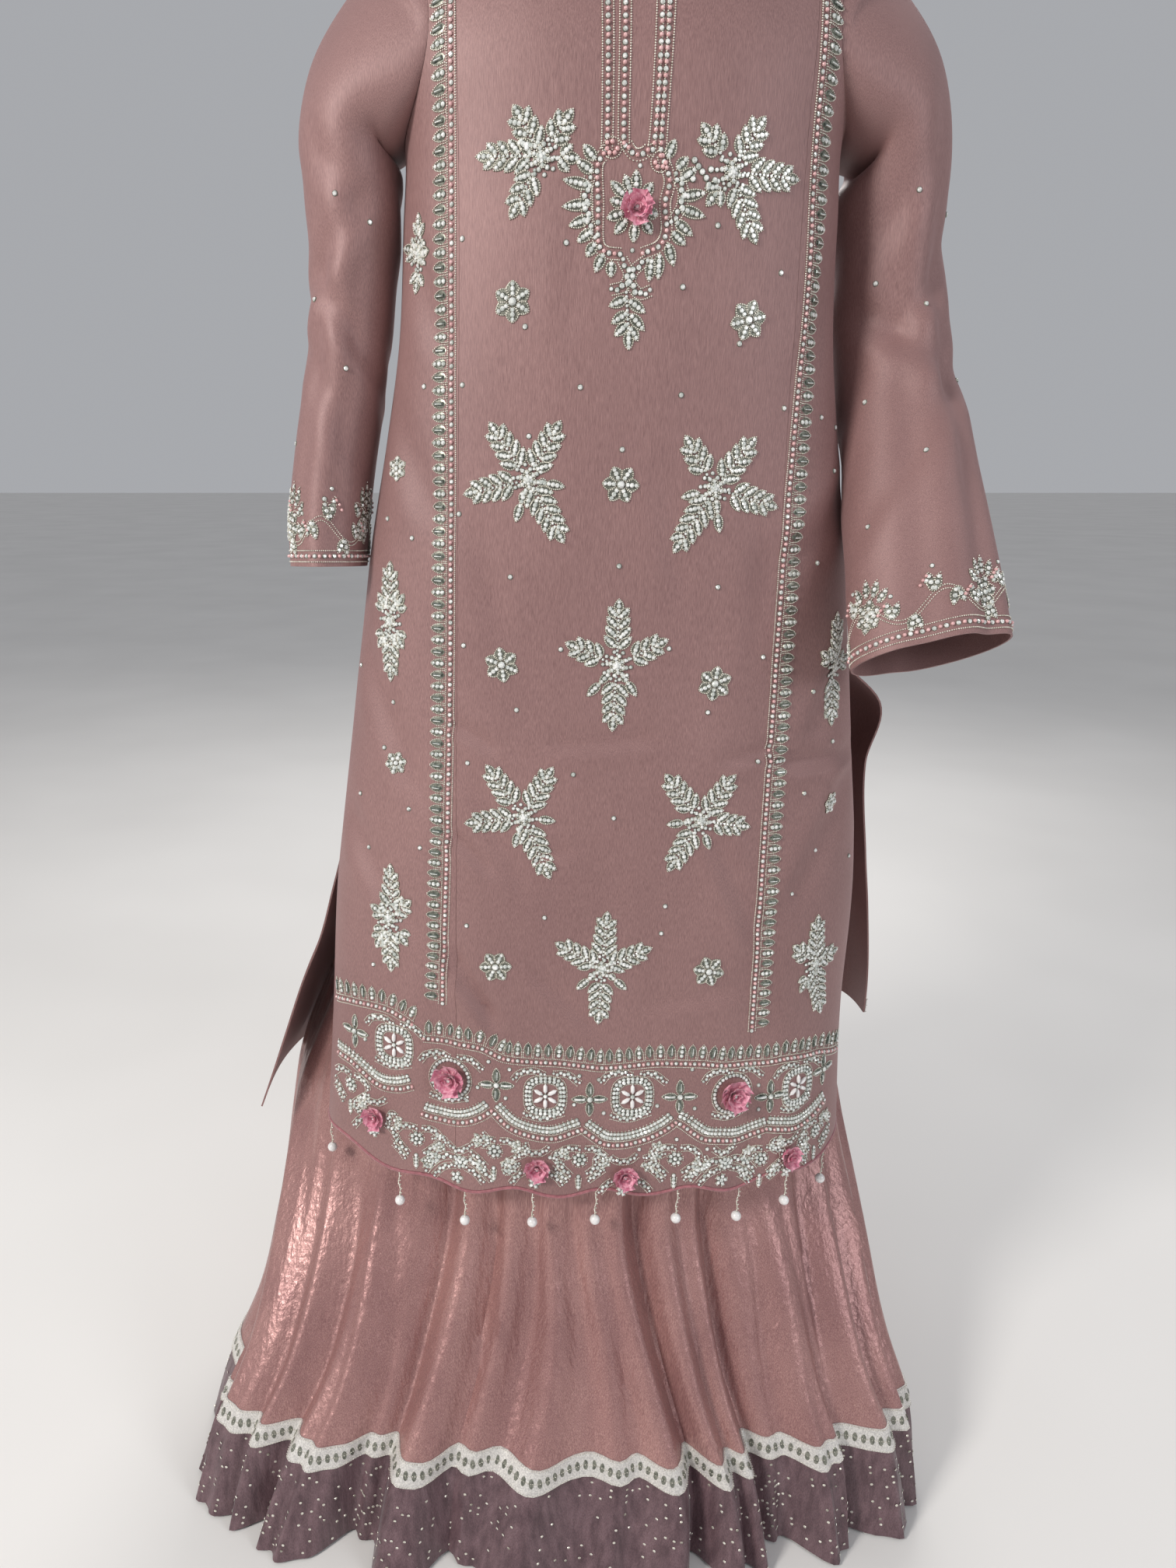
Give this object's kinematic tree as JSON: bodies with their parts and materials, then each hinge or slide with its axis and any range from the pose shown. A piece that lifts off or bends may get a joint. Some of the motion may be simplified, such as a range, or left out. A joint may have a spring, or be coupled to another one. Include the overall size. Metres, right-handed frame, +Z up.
{
  "type": "shalwar kameez in its worn form",
  "caption": "Long-sleeved embroidered tunic with side slits over a full, gathered, floor-length shalwar with a lace and organza hem, hollow as worn.",
  "frame": {"origin": "base of the neck, midway between the neck ends of the two shoulder seams, where the wearer's shoulders carry the tunic", "axes": "+Z up along the body, -Y towards the embroidered front, +X to the right of someone who looks at the front"},
  "size_m": [0.8082, 0.6275, 1.4986],
  "materials": {
    "tunic_cloth": "dusty rose crepe silk with a soft satin sheen and fine upright slubs",
    "shalwar_tissue": "salmon pink crinkled tissue silk with a metallic sheen",
    "organza": "mauve organza with scattered sequins",
    "silver_lace": "silver metallic lace ribbon",
    "pearl": "lustrous white pearl",
    "pink_bead": "pearly pink beads and rosettes",
    "crystal": "faceted clear and silvery crystals",
    "dark_crystal": "long smoke grey crystals and antique silver foil",
    "silver_bead": "small silver-lined beads and metal thread"
  },
  "bodies": {
    "root": {"kameez_front_center": "tunic_cloth", "kameez_front_side_left": "tunic_cloth", "kameez_front_side_right": "tunic_cloth", "kameez_back": "tunic_cloth", "neck_binding": "tunic_cloth", "sleeve_left": "tunic_cloth", "sleeve_right": "tunic_cloth", "kameez_back_lace": "silver_lace", "kameez_hem_drops": "pearl", "shalwar_skirt": "shalwar_tissue", "shalwar_waistband": "shalwar_tissue", "shalwar_flounce": "organza", "shalwar_lace": "silver_lace"}
  },
  "joints": []
}
